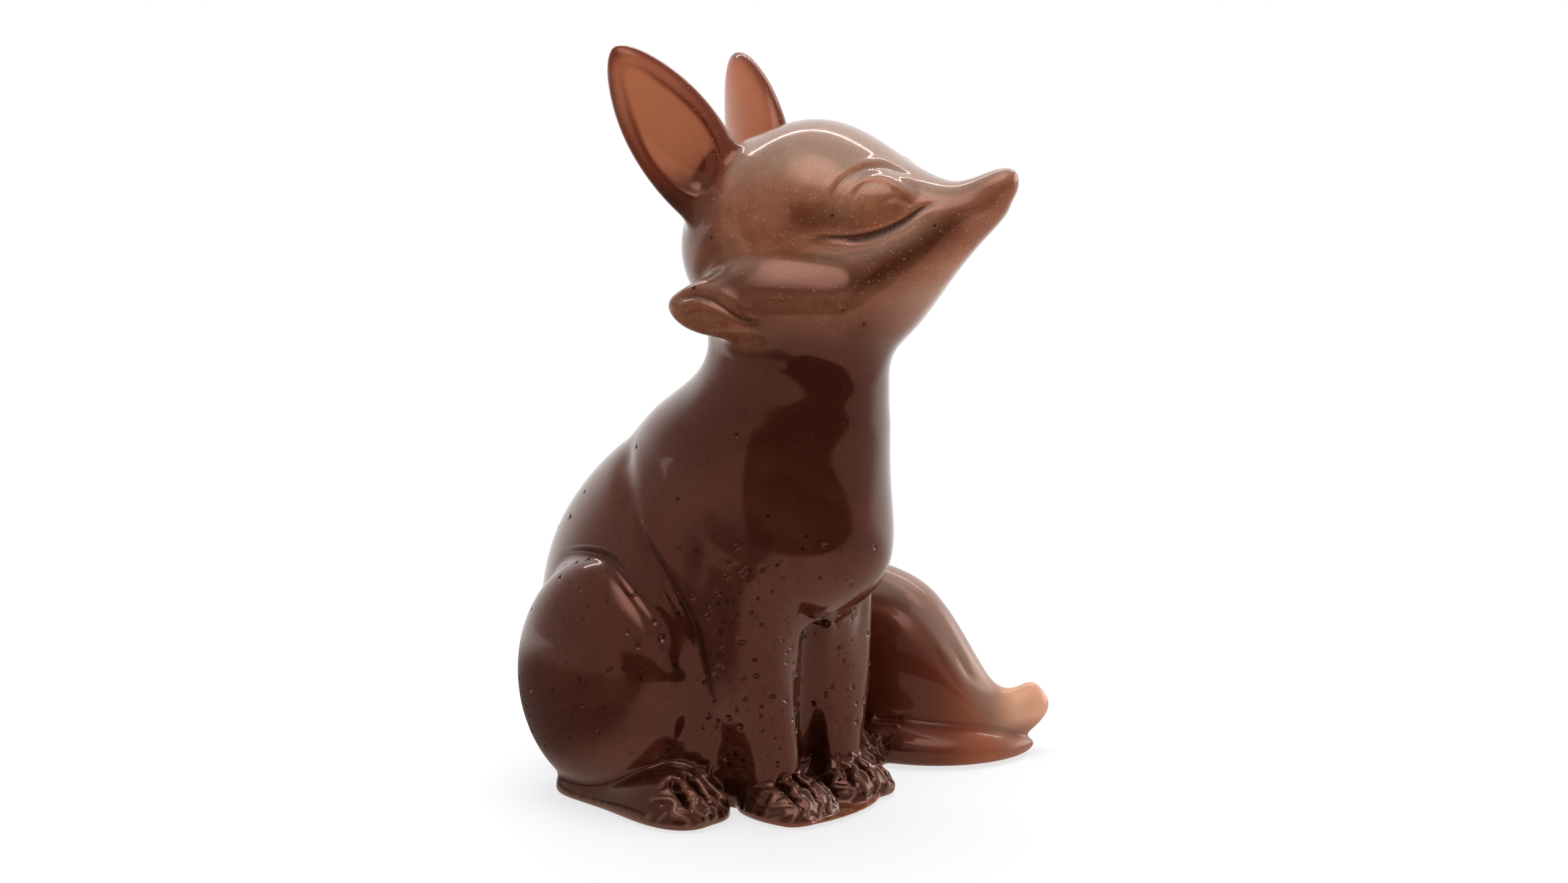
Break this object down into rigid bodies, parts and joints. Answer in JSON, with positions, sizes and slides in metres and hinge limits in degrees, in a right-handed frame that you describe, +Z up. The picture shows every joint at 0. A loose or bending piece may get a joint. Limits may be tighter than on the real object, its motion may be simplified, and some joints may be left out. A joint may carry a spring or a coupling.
{
  "type": "sitting fox figurine",
  "caption": "Small glossy cast resin fox, sitting upright with its head turned and raised, eyes closed, and its tail curled round to the front on a flat base.",
  "frame": {"origin": "on the body's middle plane, in the flat underside that the figurine rests on", "axes": "+Z up, the body faces -Y, its right side is at -X and the tail curls along its left side at +X"},
  "size_m": [0.0507, 0.0535, 0.0766],
  "materials": {
    "resin": "glossy cast epoxy resin with brown mica pearl pigment"
  },
  "bodies": {
    "root": {"head": "resin", "jaw": "resin", "chest": "resin", "back": "resin", "right_haunch": "resin", "left_haunch": "resin", "right_foreleg": "resin", "left_foreleg": "resin", "right_forepaw": "resin", "left_forepaw": "resin", "right_hind_paw": "resin", "left_hind_paw": "resin", "right_ear": "resin", "left_ear": "resin", "right_cheek_ruff": "resin", "left_cheek_ruff": "resin", "right_eyelid": "resin", "left_eyelid": "resin", "tail": "resin", "tail_lower_lock": "resin", "tail_side_lock": "resin", "front_lip": "resin"}
  },
  "joints": []
}
